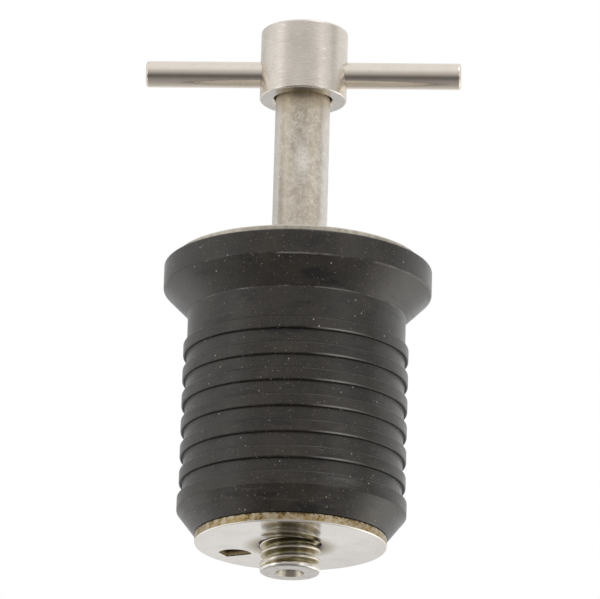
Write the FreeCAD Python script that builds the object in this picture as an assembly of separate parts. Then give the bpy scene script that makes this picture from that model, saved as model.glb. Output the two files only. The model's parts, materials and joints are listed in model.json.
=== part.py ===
import FreeCAD, Part
import math
import os

# Expanding drain plug for a boat, in millimetres.
# Z is the plug's axis, up. The origin is on the axis, in the plane where the plain neck meets the
# 45 degree seat under the flange: that seat lands on the rim of the drain tube.
# Turning the T handle clockwise draws the threaded bottom plate up the screw and squeezes the rubber.

# Rubber plug
NECK_RADIUS = 17.34
NECK_LENGTH = 5.10
LAND_RADIUS = 17.90
LAND_HEIGHT = 2.00
LAND_PITCH = 4.19
LAND_COUNT = 6
END_LAND_RADIUS = 18.13
END_LAND_HEIGHT = 2.20
END_CONE_HEIGHT = 3.67
END_FACE_RADIUS = 15.25
FLANGE_RADIUS = 21.36
FLANGE_BAND_HEIGHT = 3.92
FLANGE_LOWER_BEVEL = 0.45
FLANGE_UPPER_BEVEL = 0.30

# Top plate and the collar that bears on it
TOP_PLATE_RADIUS = 19.90
TOP_PLATE_THICKNESS = 1.20
TOP_PLATE_EDGE_BREAK = 0.25
COLLAR_RADIUS = 6.50
COLLAR_HEIGHT = 3.00
COLLAR_EDGE_BREAK = 0.40

# Bottom plate, stamped from sheet
BOTTOM_PLATE_RADIUS = 15.15
BOTTOM_PLATE_THICKNESS = 1.50
BOTTOM_PLATE_EDGE_BREAK = 0.20
NUT_COLLAR_WALL = 1.30
NUT_COLLAR_HEIGHT = 3.20
NUT_MOUTH_DEPTH = 1.15
NUT_MOUTH_FLARE = 1.15
MOUTH_BEND_SHARE = 0.30

# Tab that is cut from the bottom plate and bent up into the rubber
TAB_X = -8.97
TAB_Y = 4.84
TAB_WIDTH = 4.32
TAB_HEIGHT = 2.60
TAB_FACE = 1.35
TAB_SIDE = 1.60
TAB_NOSE = 2.29
TAB_NOSE_SHARE = 0.45
TAB_ANGLE = -24.0

# Screw thread, 3/8 in with 16 turns to the inch. Both of its sides are plain, at the outer radius.
THREAD_RADIUS = 4.7625
THREAD_PITCH = 1.5875
TRAVEL_TURNS = 3.5
SPARE_TURNS = 2.0

# Stem
SHANK_RADIUS = 4.40
STEM_REACH = 27.33
STEM_PROTRUSION = 4.40
STEM_END_CHAMFER = 0.15
END_HOLE_RADIUS = 2.25
END_HOLE_DEPTH = 5.00
END_HOLE_CHAMFER = 0.30
DRILL_POINT_SLOPE = math.tan(math.radians(31))

# T handle
HUB_RADIUS = 7.00
HUB_HEIGHT = 11.58
HUB_TOP_CHAMFER = 0.35
HUB_BOTTOM_CHAMFER = 0.20
HUB_ROOF = 2.30
HUB_MOUTH_CHAMFER = 0.35
BAR_RADIUS = 2.13
BAR_LENGTH = 50.80
BAR_ABOVE_HUB_FOOT = 4.40
BAR_END_CHAMFER = 0.40

# Clearances between pieces, on the radius unless a height is named
THREAD_CLEARANCE = 0.08
PASS_CLEARANCE = 0.15
RUBBER_CLEARANCE = 0.35
TAB_CLEARANCE = 0.30
HUB_BORE_CLEARANCE = 0.15
BAR_CLEARANCE = 0.03
COLLAR_CLEARANCE = 0.03
BEARING_GAP_HEIGHT = 0.05
STEM_TOP_GAP_HEIGHT = 0.30

# Heights that follow from the values above
RUBBER_TOP = FLANGE_RADIUS - NECK_RADIUS + FLANGE_BAND_HEIGHT
END_LAND_TOP = -(NECK_LENGTH + LAND_COUNT * LAND_PITCH)
END_CONE_TOP = END_LAND_TOP - END_LAND_HEIGHT
RUBBER_BOTTOM = END_CONE_TOP - END_CONE_HEIGHT
TOP_PLATE_TOP = RUBBER_TOP + TOP_PLATE_THICKNESS
BOTTOM_PLATE_BOTTOM = RUBBER_BOTTOM - BOTTOM_PLATE_THICKNESS
NUT_COLLAR_TOP = RUBBER_BOTTOM + NUT_COLLAR_HEIGHT
STEM_END = BOTTOM_PLATE_BOTTOM - STEM_PROTRUSION
HUB_FOOT = TOP_PLATE_TOP + STEM_REACH
HUB_TOP = HUB_FOOT + HUB_HEIGHT
BORE_TOP = HUB_TOP - HUB_ROOF
STEM_TOP = BORE_TOP - STEM_TOP_GAP_HEIGHT
BAR_HEIGHT = HUB_FOOT + BAR_ABOVE_HUB_FOOT
THREAD_TOP = NUT_COLLAR_TOP + (TRAVEL_TURNS + SPARE_TURNS) * THREAD_PITCH

# Radii that follow
NUT_RADIUS = THREAD_RADIUS + THREAD_CLEARANCE
NUT_COLLAR_RADIUS = NUT_RADIUS + NUT_COLLAR_WALL
RUBBER_BORE_RADIUS = THREAD_RADIUS + RUBBER_CLEARANCE


def turned_outline(points):
    """The solid that a closed section of radii and heights sweeps round the axis."""
    corners = [FreeCAD.Vector(radius, 0, height) for radius, height in points]
    face = Part.Face(Part.makePolygon(corners + corners[:1]))
    return face.revolve(FreeCAD.Vector(), FreeCAD.Vector(0, 0, 1), 360)


def stem():
    """Round stem: thicker threaded length below, plain shank above, drilled lower end."""
    end_radius = THREAD_RADIUS - STEM_END_CHAMFER
    hole_mouth = END_HOLE_RADIUS + END_HOLE_CHAMFER
    hole_top = STEM_END + END_HOLE_DEPTH
    shoulder = THREAD_RADIUS - SHANK_RADIUS
    blank = turned_outline([
        (0, hole_top + END_HOLE_RADIUS * DRILL_POINT_SLOPE),
        (END_HOLE_RADIUS, hole_top),
        (END_HOLE_RADIUS, STEM_END + END_HOLE_CHAMFER),
        (hole_mouth, STEM_END),
        (end_radius, STEM_END),
        (THREAD_RADIUS, STEM_END + STEM_END_CHAMFER),
        (THREAD_RADIUS, THREAD_TOP),
        (SHANK_RADIUS, THREAD_TOP + shoulder),
        (SHANK_RADIUS, STEM_TOP),
        (0, STEM_TOP),
    ])
    return blank.cut(bar_hole())


def bar_hole():
    """The cross hole for the bar, through the hub and the stem."""
    radius = BAR_RADIUS + BAR_CLEARANCE
    start = FreeCAD.Vector(-BAR_LENGTH / 2, 0, BAR_HEIGHT)
    return Part.makeCylinder(radius, BAR_LENGTH, start, FreeCAD.Vector(1, 0, 0))


def handle_hub():
    """Turned hub that the stem's top end and the bar are pressed into."""
    bore = SHANK_RADIUS + HUB_BORE_CLEARANCE
    body = turned_outline([
        (0, BORE_TOP),
        (bore, BORE_TOP),
        (bore, HUB_FOOT + HUB_MOUTH_CHAMFER),
        (bore + HUB_MOUTH_CHAMFER, HUB_FOOT),
        (HUB_RADIUS - HUB_BOTTOM_CHAMFER, HUB_FOOT),
        (HUB_RADIUS, HUB_FOOT + HUB_BOTTOM_CHAMFER),
        (HUB_RADIUS, HUB_TOP - HUB_TOP_CHAMFER),
        (HUB_RADIUS - HUB_TOP_CHAMFER, HUB_TOP),
        (0, HUB_TOP),
    ])
    return body.cut(bar_hole())


def t_bar():
    """Round cross bar with its two end edges broken."""
    half = BAR_LENGTH / 2
    face = BAR_RADIUS - BAR_END_CHAMFER
    bar = turned_outline([
        (0, -half),
        (face, -half),
        (BAR_RADIUS, BAR_END_CHAMFER - half),
        (BAR_RADIUS, half - BAR_END_CHAMFER),
        (face, half),
        (0, half),
    ])
    bar.rotate(FreeCAD.Vector(), FreeCAD.Vector(0, 1, 0), 90)
    bar.translate(FreeCAD.Vector(0, 0, BAR_HEIGHT))
    return bar


def thrust_collar():
    """Ring pressed on the stem, which bears on the top plate."""
    inner = SHANK_RADIUS + COLLAR_CLEARANCE
    foot = TOP_PLATE_TOP + BEARING_GAP_HEIGHT
    top = foot + COLLAR_HEIGHT
    return turned_outline([
        (inner, foot),
        (COLLAR_RADIUS, foot),
        (COLLAR_RADIUS, top - COLLAR_EDGE_BREAK),
        (COLLAR_RADIUS - COLLAR_EDGE_BREAK, top),
        (inner, top),
    ])


def top_plate():
    """Flat steel washer on the rubber's flange."""
    hole = THREAD_RADIUS + PASS_CLEARANCE
    return turned_outline([
        (hole, RUBBER_TOP),
        (TOP_PLATE_RADIUS, RUBBER_TOP),
        (TOP_PLATE_RADIUS, TOP_PLATE_TOP - TOP_PLATE_EDGE_BREAK),
        (TOP_PLATE_RADIUS - TOP_PLATE_EDGE_BREAK, TOP_PLATE_TOP),
        (hole, TOP_PLATE_TOP),
    ])


def rubber_plug():
    """Moulded plug: seat flange, plain neck, six shallow lands, a wider end land and a cone."""
    bore = RUBBER_BORE_RADIUS
    pocket = NUT_COLLAR_RADIUS + RUBBER_CLEARANCE
    pocket_top = NUT_COLLAR_TOP + RUBBER_CLEARANCE
    seat_top = FLANGE_RADIUS - NECK_RADIUS
    side = [
        (END_FACE_RADIUS, RUBBER_BOTTOM),
        (END_LAND_RADIUS, END_CONE_TOP),
        (END_LAND_RADIUS, END_LAND_TOP),
        (NECK_RADIUS, END_LAND_TOP),
    ]
    for land in reversed(range(LAND_COUNT)):
        land_top = -(NECK_LENGTH + land * LAND_PITCH)
        land_bottom = land_top - LAND_HEIGHT
        side += [
            (NECK_RADIUS, land_bottom),
            (LAND_RADIUS, land_bottom),
            (LAND_RADIUS, land_top),
            (NECK_RADIUS, land_top),
        ]
    flange = [
        (NECK_RADIUS, 0),
        (FLANGE_RADIUS - FLANGE_LOWER_BEVEL, seat_top - FLANGE_LOWER_BEVEL),
        (FLANGE_RADIUS, seat_top + FLANGE_LOWER_BEVEL),
        (FLANGE_RADIUS, RUBBER_TOP - FLANGE_UPPER_BEVEL),
        (FLANGE_RADIUS - FLANGE_UPPER_BEVEL, RUBBER_TOP),
    ]
    inside = [
        (bore, RUBBER_TOP),
        (bore, pocket_top),
        (pocket, pocket_top),
        (pocket, RUBBER_BOTTOM),
    ]
    body = turned_outline(side + flange + inside)
    return body.cut(tab_form(RUBBER_BOTTOM, TAB_CLEARANCE))


def placed_on_plate(shape):
    """Turns and moves a tab or hole from its own place to where it sits on the bottom plate."""
    shape.rotate(FreeCAD.Vector(), FreeCAD.Vector(0, 0, 1), TAB_ANGLE)
    shape.translate(FreeCAD.Vector(TAB_X, TAB_Y, 0))
    return shape


def tab_form(foot, extra):
    """The bent-up tab, a half-round tongue on edge from a foot height, grown all round by a clearance."""
    front = TAB_FACE - extra
    back = TAB_FACE + BOTTOM_PLATE_THICKNESS + extra
    shoulder = RUBBER_BOTTOM + TAB_HEIGHT / 2
    reach = TAB_WIDTH / 2 + extra
    crest = RUBBER_BOTTOM + TAB_HEIGHT + extra
    left_foot = FreeCAD.Vector(-reach, front, foot)
    left = FreeCAD.Vector(-reach, front, shoulder)
    right = FreeCAD.Vector(reach, front, shoulder)
    right_foot = FreeCAD.Vector(reach, front, foot)
    top = Part.Arc(left, FreeCAD.Vector(0, front, crest), right).toShape()
    edges = [Part.LineSegment(left_foot, left).toShape(), top,
             Part.LineSegment(right, right_foot).toShape(),
             Part.LineSegment(right_foot, left_foot).toShape()]
    face = Part.Face(Part.Wire(edges))
    return placed_on_plate(face.extrude(FreeCAD.Vector(0, back - front, 0)))


def tab_hole():
    """The window that the tab leaves in the bottom plate: two straight sides and a round nose."""
    half = TAB_WIDTH / 2
    hinge_left = FreeCAD.Vector(-half, TAB_FACE, BOTTOM_PLATE_BOTTOM)
    hinge_right = FreeCAD.Vector(half, TAB_FACE, BOTTOM_PLATE_BOTTOM)
    side_foot = FreeCAD.Vector(-half, -TAB_SIDE, BOTTOM_PLATE_BOTTOM)
    nose_middle = FreeCAD.Vector(half * TAB_NOSE_SHARE, -TAB_NOSE, BOTTOM_PLATE_BOTTOM)
    edges = [Part.LineSegment(hinge_left, side_foot).toShape(),
             Part.Arc(side_foot, nose_middle, hinge_right).toShape(),
             Part.LineSegment(hinge_right, hinge_left).toShape()]
    face = Part.Face(Part.Wire(edges))
    return placed_on_plate(face.extrude(FreeCAD.Vector(0, 0, BOTTOM_PLATE_THICKNESS)))


def bottom_plate():
    """Stamped plate with a drawn, threaded collar in its middle and a tab bent up into the rubber."""
    mouth_bend = NUT_MOUTH_FLARE * MOUTH_BEND_SHARE
    mouth_rise = NUT_MOUTH_DEPTH * MOUTH_BEND_SHARE
    disc = turned_outline([
        (NUT_RADIUS, BOTTOM_PLATE_BOTTOM + NUT_MOUTH_DEPTH),
        (NUT_RADIUS + mouth_bend, BOTTOM_PLATE_BOTTOM + mouth_rise),
        (NUT_RADIUS + NUT_MOUTH_FLARE, BOTTOM_PLATE_BOTTOM),
        (BOTTOM_PLATE_RADIUS - BOTTOM_PLATE_EDGE_BREAK, BOTTOM_PLATE_BOTTOM),
        (BOTTOM_PLATE_RADIUS, BOTTOM_PLATE_BOTTOM + BOTTOM_PLATE_EDGE_BREAK),
        (BOTTOM_PLATE_RADIUS, RUBBER_BOTTOM),
        (NUT_COLLAR_RADIUS, RUBBER_BOTTOM),
        (NUT_COLLAR_RADIUS, NUT_COLLAR_TOP),
        (NUT_RADIUS, NUT_COLLAR_TOP),
    ])
    return disc.cut(tab_hole()).fuse(tab_form(BOTTOM_PLATE_BOTTOM, 0)).removeSplitter()


NODES = {
    "rubber_plug": rubber_plug,
    "top_plate": top_plate,
    "bottom_plate": bottom_plate,
    "stem": stem,
    "thrust_collar": thrust_collar,
    "handle_hub": handle_hub,
    "t_bar": t_bar,
}

os.makedirs("parts", exist_ok=True)
for node, build in NODES.items():
    shape = build()
    shape.exportStep("parts/" + node + ".step")
    print(node, len(shape.Solids), "solid, valid", shape.isValid(), "volume", round(shape.Volume, 2))
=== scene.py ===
"""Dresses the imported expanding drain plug: moulded rubber, rolled thread, turned handle and studio."""

import json
import logging
import math
from dataclasses import dataclass
from enum import Enum
from functools import reduce
from typing import Dict, List, Optional, Sequence, Tuple, Union

import bpy
import bmesh
from mathutils import Matrix, Vector

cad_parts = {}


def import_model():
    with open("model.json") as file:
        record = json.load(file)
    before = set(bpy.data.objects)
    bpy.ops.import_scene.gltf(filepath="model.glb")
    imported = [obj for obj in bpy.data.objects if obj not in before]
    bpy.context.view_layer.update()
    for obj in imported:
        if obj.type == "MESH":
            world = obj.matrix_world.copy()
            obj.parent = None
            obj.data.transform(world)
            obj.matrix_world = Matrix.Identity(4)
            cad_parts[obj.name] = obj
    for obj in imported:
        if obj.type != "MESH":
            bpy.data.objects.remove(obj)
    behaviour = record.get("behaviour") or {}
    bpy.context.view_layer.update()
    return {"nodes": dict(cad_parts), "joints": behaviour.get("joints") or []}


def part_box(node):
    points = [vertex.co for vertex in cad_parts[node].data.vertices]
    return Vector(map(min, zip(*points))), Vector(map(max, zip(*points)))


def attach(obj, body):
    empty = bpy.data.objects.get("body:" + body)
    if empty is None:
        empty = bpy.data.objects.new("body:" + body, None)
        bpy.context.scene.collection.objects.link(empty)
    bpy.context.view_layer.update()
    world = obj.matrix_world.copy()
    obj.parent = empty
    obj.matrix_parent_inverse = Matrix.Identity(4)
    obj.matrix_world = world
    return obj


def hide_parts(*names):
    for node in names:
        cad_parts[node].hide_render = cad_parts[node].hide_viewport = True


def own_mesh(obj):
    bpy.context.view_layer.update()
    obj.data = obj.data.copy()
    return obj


MM = 0.001
LOG = logging.getLogger("drain_plug")

# The Mix node's sockets for colours
MIX_FACTOR, MIX_LOW, MIX_HIGH, MIX_RESULT = 0, 6, 7, 2

# Half of a whole, which is also what a soft random pattern swings about
MIDDLE = 0.5

# Half a turn, in degrees
HALF_TURN = 180.0

# What a shape and its finish both need, in millimetres, and the thread's start in turns
NECK_LENGTH = 5.10
LAND_PITCH, LAND_HEIGHT, LAND_RADIUS = 4.19, 2.00, 17.90
THREAD_PITCH, THREAD_START = 1.5875, 0.33
HOLE_RADIUS = 2.30
SHEET = 1.50

# How much of an edge one rounded corner may take up
EDGE_SHARE = 0.48

# Factors on x, y and z that keep a pattern as it is, or the same at all heights
EVEN = (1.0, 1.0, 1.0)
FLAT = (1.0, 1.0, 0.0)

# How soft the choice is whether a cell holds a dot
CHOICE = 0.001

# A radius that counts as none, in metres, and the usual angle above which an edge stays crisp
ON_AXIS = 1e-7
SHARP = 40.0

Piece = bpy.types.Object
Material = bpy.types.Material
Mesh = bmesh.types.BMesh
Row = List[bmesh.types.BMVert]
Triple = Tuple[float, float, float]
Colour = Triple
Corner = Triple
Outline = List[Tuple[float, float]]
Plug = Union["Signal", float, Sequence[float]]
Coat = Tuple[Plug, float, "Signal"]


class Body(Enum):
    """The frame's moving bodies."""

    PLUG = "plug_body"
    HANDLE = "handle"
    CLAMP = "clamp_plate"


class Carving(Enum):
    """What a tool's shape does to a piece."""

    CUT = "DIFFERENCE"
    JOIN = "UNION"


class Signal:
    """One output socket of a shader graph. Arithmetic on it adds Math nodes."""

    def __init__(self, graph: "Graph", socket: bpy.types.NodeSocket) -> None:
        """Keeps the graph and the socket."""
        self.graph = graph
        self.socket = socket

    def math(self, operation: str, *others: Plug) -> "Signal":
        """Adds a Math node whose first value is this signal."""
        return self.graph.node("ShaderNodeMath", {"operation": operation}, dict(enumerate((self, *others))))

    def __add__(self, other: Plug) -> "Signal":
        """This plus the other."""
        return self.math("ADD", other)

    def __sub__(self, other: Plug) -> "Signal":
        """This less the other."""
        return self.math("SUBTRACT", other)

    def __mul__(self, other: Plug) -> "Signal":
        """This times the other."""
        return self.math("MULTIPLY", other)

    def __rsub__(self, other: float) -> "Signal":
        """The other less this."""
        return self * -1.0 + other

    __radd__ = __add__
    __rmul__ = __mul__

    def ramp(self, low: float, high: float) -> "Signal":
        """A smooth step from 0 at low to 1 at high, or down where low is the larger."""
        settings = {"interpolation_type": "SMOOTHSTEP"}
        return self.graph.node("ShaderNodeMapRange", settings, {0: self, 1: low, 2: high})

    def swing(self, reach: float) -> "Signal":
        """How far a soft random pattern lies above or below its middle, times a reach."""
        return (self - MIDDLE) * reach

    def bell(self, centre: float, width: float) -> "Signal":
        """A smooth hump, 1 at the centre and 0 a width away on each side."""
        return (self - centre).math("ABSOLUTE").ramp(width, 0.0)


def opaque(colour: Plug) -> Plug:
    """A plain colour with its alpha. A signal stays as it is."""
    return colour if isinstance(colour, Signal) else (*colour, 1.0)


class Graph:
    """A node tree with one method that adds any node, and short forms for the usual ones."""

    def __init__(self, tree: bpy.types.NodeTree) -> None:
        """Keeps and empties the tree of a material or a world."""
        self.tree = tree
        tree.nodes.clear()

    def node(self, kind: str, settings: Optional[Dict] = None, inputs: Optional[Dict] = None,
             output: Union[int, str] = 0) -> Signal:
        """Adds a node.

        Args:
            kind: Its type name.
            settings: Its own properties, or stops for a colour ramp.
            inputs: Socket names or numbers, with values or signals.
            output: The output to return.

        Returns:
            The chosen output.
        """
        made = self.tree.nodes.new(kind)
        for name, value in (settings or {}).items():
            if name == "stops":
                self._set_stops(made.color_ramp, value)
            else:
                setattr(made, name, value)
        for name, value in (inputs or {}).items():
            if isinstance(value, Signal):
                self.tree.links.new(value.socket, made.inputs[name])
            else:
                made.inputs[name].default_value = value
        return Signal(self, made.outputs[output]) if made.outputs else Signal(self, None)

    @staticmethod
    def _set_stops(ramp: bpy.types.ColorRamp, stops: Sequence[Tuple[float, Colour]]) -> None:
        """Fills a colour ramp.

        Args:
            ramp: The ramp.
            stops: Places from 0 to 1, with their colours.
        """
        while len(ramp.elements) < len(stops):
            ramp.elements.new(MIDDLE)
        for element, (place, colour) in zip(ramp.elements, stops):
            element.position = place
            element.color = opaque(colour)

    def mix(self, factor: Plug, low: Plug, high: Plug) -> Signal:
        """Blends two colours, from the first at 0 to the second at 1."""
        inputs = {MIX_FACTOR: factor, MIX_LOW: opaque(low), MIX_HIGH: opaque(high)}
        return self.node("ShaderNodeMix", {"data_type": "RGBA"}, inputs, MIX_RESULT)

    def coats(self, tone: Plug, *coats: Coat) -> Signal:
        """Lays colours over a ground tone.

        Args:
            tone: The ground.
            coats: In order, each one's colour, its share and the mask of where it lies.

        Returns:
            The tone.
        """
        for colour, share, mask in coats:
            tone = self.mix(mask * share, tone, colour)
        return tone

    def vector(self, operation: str, *values: Plug) -> Signal:
        """Adds a Vector Math node and gives its vector."""
        return self.node("ShaderNodeVectorMath", {"operation": operation}, dict(enumerate(values)))

    def split(self, vector: Signal) -> List[Signal]:
        """The three parts of a vector or a colour."""
        parts = self.node("ShaderNodeSeparateXYZ", None, {0: vector}).socket.node.outputs
        return [Signal(self, part) for part in parts]

    def surface(self, **sockets: Plug) -> None:
        """Ends the graph in one Principled shader.

        Args:
            sockets: Its socket names, with an underscore for a space, and their values.
        """
        inputs = {name.replace("_", " "): value for name, value in sockets.items()}
        inputs["Base Color"] = opaque(inputs["Base Color"])
        shader = self.node("ShaderNodeBsdfPrincipled", None, inputs)
        self.node("ShaderNodeOutputMaterial", None, {"Surface": shader})


def new_material(name: str) -> Tuple[Material, Graph]:
    """An empty node material and its graph."""
    material = bpy.data.materials.new(name)
    material.use_nodes = True
    return material, Graph(material.node_tree)


def most(*masks: Signal) -> Signal:
    """The largest of several masks at each point."""
    return reduce(lambda one, other: one.math("MAXIMUM", other), masks)


class Skin:
    """A surface point in the piece's own frame, in millimetres, and random patterns on it."""

    def __init__(self, g: Graph) -> None:
        """Works out the point's parts and its distance from the axis.

        Args:
            g: The material's graph.
        """
        self.g = g
        point = g.node("ShaderNodeTexCoord", output="Object")
        self.where = g.vector("MULTIPLY", point, (1.0 / MM,) * 3)
        self.x, self.y, self.z = g.split(self.where)
        flat = g.vector("MULTIPLY", self.where, FLAT)
        self.radius = g.node("ShaderNodeVectorMath", {"operation": "LENGTH"}, {0: flat}, "Value")

    def grain(self, scale: float, detail: float, rough: float, stretch: Triple = EVEN) -> Signal:
        """A soft pattern.

        Args:
            scale: Lumps in a millimetre.
            detail: How many finer octaves it has.
            rough: How strong those are.
            stretch: Factors on x, y and z.

        Returns:
            The pattern, from 0 to 1.
        """
        where = self.g.vector("MULTIPLY", self.where, stretch)
        inputs = {"Vector": where, "Scale": scale, "Detail": detail, "Roughness": rough}
        return self.g.node("ShaderNodeTexNoise", None, inputs)

    def flecks(self, cells: float, size: float, share: float, where: Optional[Signal] = None) -> Signal:
        """Small scattered dots.

        Args:
            cells: Cells in a millimetre, each of which may hold a dot.
            size: A dot's radius in cells, half of which is its soft edge.
            share: The share of the cells that hold one.
            where: The point, if it isn't the surface's own.

        Returns:
            1 on the dots and 0 elsewhere.
        """
        inputs = {"Vector": where or self.where, "Scale": cells}
        distance = self.g.node("ShaderNodeTexVoronoi", None, inputs, "Distance")
        chosen = self.g.split(Signal(self.g, distance.socket.node.outputs["Color"]))[0]
        return distance.ramp(size, size / 2) * chosen.ramp(1.0 - share, 1.0 - share + CHOICE)

    def fibres(self, slant: Triple, shift: Triple, bend: float = 0.9) -> Signal:
        """Short stray fibres, which are dots drawn out on a bent grid.

        Args:
            slant: Factors on x, y and z that draw them out.
            shift: Where the grid begins.
            bend: Bends in a millimetre.

        Returns:
            1 on the fibres and 0 elsewhere.
        """
        swirl = self.g.node("ShaderNodeTexNoise", None, {"Vector": self.where, "Scale": bend}, "Color")
        drawn = self.g.vector("MULTIPLY", self.g.vector("ADD", self.where, swirl), slant)
        return self.flecks(1.5, 0.080, 0.24, self.g.vector("ADD", drawn, shift))


@dataclass(frozen=True)
class Look:
    """A finish's tone and relief, and what is added to its roughness and its metal."""

    tone: Signal
    rough: Signal
    height: Signal
    metal: Plug = 0.0


@dataclass(frozen=True)
class Finish:
    """A material. Its relief is how many metres a height of 1 stands proud."""

    name: str
    metallic: float = 1.0
    roughness: float = 0.24
    relief: float = 0.000004

    def look(self, s: Skin) -> Look:
        """How the surface looks at a point."""
        raise NotImplementedError

    def build(self) -> Material:
        """Makes the material.

        Returns:
            The material.
        """
        material, g = new_material(self.name)
        look = self.look(Skin(g))
        relief = {"Strength": 1.0, "Distance": self.relief, "Height": look.height}
        g.surface(Base_Color=look.tone, Metallic=look.metal + self.metallic,
                  Roughness=look.rough + self.roughness, Normal=g.node("ShaderNodeBump", None, relief))
        return material


@dataclass(frozen=True)
class MouldedRubber(Finish):
    """Charcoal rubber with a satin skin, dust, lint, soiling and painted shade under the lands, painted
    highlights along its edges, and a rubbed end land at the front.
    """

    name: str = "moulded_rubber"
    metallic: float = 0.0
    roughness: float = 0.31
    relief: float = 0.000014
    skin: Colour = (0.0112, 0.0082, 0.0046)
    faded: Colour = (0.0238, 0.0188, 0.0126)
    grit: Colour = (0.0415, 0.0345, 0.0260)
    # Dark tone of the oily film, and of the painted shade in the grooves under the lands
    oil_and_shade: Colour = (0.0045, 0.0040, 0.0035)
    warm_dust: Colour = (0.48, 0.38, 0.27)
    pale_dust: Colour = (0.50, 0.50, 0.48)
    lint: Colour = (0.46, 0.40, 0.31)
    scuff: Colour = (0.085, 0.078, 0.070)
    rubbed: Colour = (0.110, 0.104, 0.095)
    # Painted highlight: the pale colour of the lines along the land, seat and neck edges
    painted_highlight: Colour = (0.230, 0.218, 0.198)
    seat_edge: float = 4.02
    neck_edge: float = -0.14
    first_land: float = -NECK_LENGTH
    land_pitch: float = LAND_PITCH
    land_height: float = LAND_HEIGHT
    land_radius: float = LAND_RADIUS
    end_land: float = -31.0
    cone: float = -32.44

    def look(self, s: Skin) -> Look:
        """Skin in soft clouds, then scuffs, an oily film, painted highlights along edges, painted shade in
        the grooves under the lands, dust and lint.

        Args:
            s: The surface.

        Returns:
            The look.
        """
        start, rim, foot = self.first_land, self.land_radius, self.land_height / self.land_pitch
        cloud, fine = s.grain(0.20, 4.0, 0.60), s.grain(3.6, 4.0, 0.70)
        rings, rub = s.grain(2.4, 3.0, 0.60, (0.05, 0.05, 1.0)), s.grain(1.2, 4.0, 0.70, (0.14, 0.14, 1.5))
        smear, film = s.grain(1.6, 4.0, 0.65, (0.12, 0.12, 1.6)), s.grain(0.9, 4.0, 0.60, (0.16, 0.16, 0.55))
        broken, other = s.grain(0.16, 4.0, 0.65).ramp(0.42, 0.62), s.grain(1.3, 1.0, 0.50).ramp(0.50, 0.58)
        oily, front = film.ramp(0.55, 0.66), s.y.ramp(-8.0, -12.0)
        down_land = ((s.z * -1.0 + start) * (1.0 / self.land_pitch)).math("FRACT")
        # Painted highlight along each land's lower edge, towards the front right
        land_edge_highlight = (down_land.bell(foot - 0.035, 0.050) * s.radius.ramp(rim - 0.25, rim - 0.10) * front
                     * s.x.bell(7.9, 5.4) * s.z.ramp(start + 0.5, start - 0.1)
                     * s.z.ramp(self.end_land, self.end_land + 1.0))
        # Mask of the inner corner under each land, where painted shade darkens the groove
        grime_and_shade = (down_land.bell(foot + 0.010, 0.040) * s.radius.ramp(rim - 0.10, rim - 0.35)
                 * s.z.ramp(start + 0.5, start - 0.5))
        specks = most(s.flecks(0.85, 0.10, 0.22) * 0.7, s.flecks(1.9, 0.16, 0.22),
                      s.flecks(3.4, 0.22, 0.16) * 0.7)
        coarse = s.flecks(1.1, 0.16, 0.13)
        fluff = most(s.fibres((1.0, 0.45, 0.22), (0.0, 1.0, 3.0)), s.fibres((0.3, 0.9, 1.0), (5.0, 2.0, 0.0)),
                     s.fibres((0.8, 0.8, 0.35), (9.0, 4.0, 7.0)))
        tone = s.g.coats(
            self.skin,
            (self.faded, 1.00, cloud.ramp(0.30, 0.75)),
            (self.grit, 0.75, fine.ramp(0.46, 0.72)),
            (self.scuff, 0.22, rings.ramp(0.55, 0.80) * cloud.ramp(0.45, 0.62)),
            (self.scuff, 0.40, s.z.ramp(self.cone + 2.2, self.cone + 1.0) * smear.ramp(0.52, 0.74)
             * cloud.ramp(0.35, 0.60)),
            (self.oil_and_shade, 0.85, oily),
            (self.scuff, 0.28, rub.ramp(0.60, 0.78) * (1.0 - oily)),
            # Painted highlights: each land's lower edge at the front right, and broken lines along the seat's
            # and the neck's edges
            (self.painted_highlight, 1.00, land_edge_highlight),
            (self.painted_highlight, 0.60, s.z.bell(self.seat_edge, 0.20) * broken),
            (self.painted_highlight, 0.60, s.z.bell(self.neck_edge, 0.17) * broken),
            (self.rubbed, 0.60, s.x.bell(8.2, 4.2) * s.z.bell(self.end_land, 1.8) * front
             * rings.ramp(0.40, 0.68)),
            # A darker patch at the front right, in the tone of the oily film
            (self.oil_and_shade, 0.90, s.x.bell(10.0, 4.5) * s.z.bell(-16.8, 2.2) * front * film.ramp(0.36, 0.52)),
            # Painted shade in the groove under each land
            (self.oil_and_shade, 0.90, grime_and_shade),
            (s.g.mix(other, self.warm_dust, self.pale_dust), 0.50, specks),
            (s.g.mix(other, self.pale_dust, self.warm_dust), 0.75, coarse),
            (self.lint, 0.60, fluff))
        cover = most(specks, fluff, coarse)
        rough = (fine.swing(0.22) + cloud.swing(0.20) + rings.swing(0.10) + cover * 0.30 + grime_and_shade * 0.40
                 + oily * 0.03)
        return Look(tone, rough, fine * 0.85 + rings * 0.80 + cover * 1.3 + cloud * 6.0)


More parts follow.
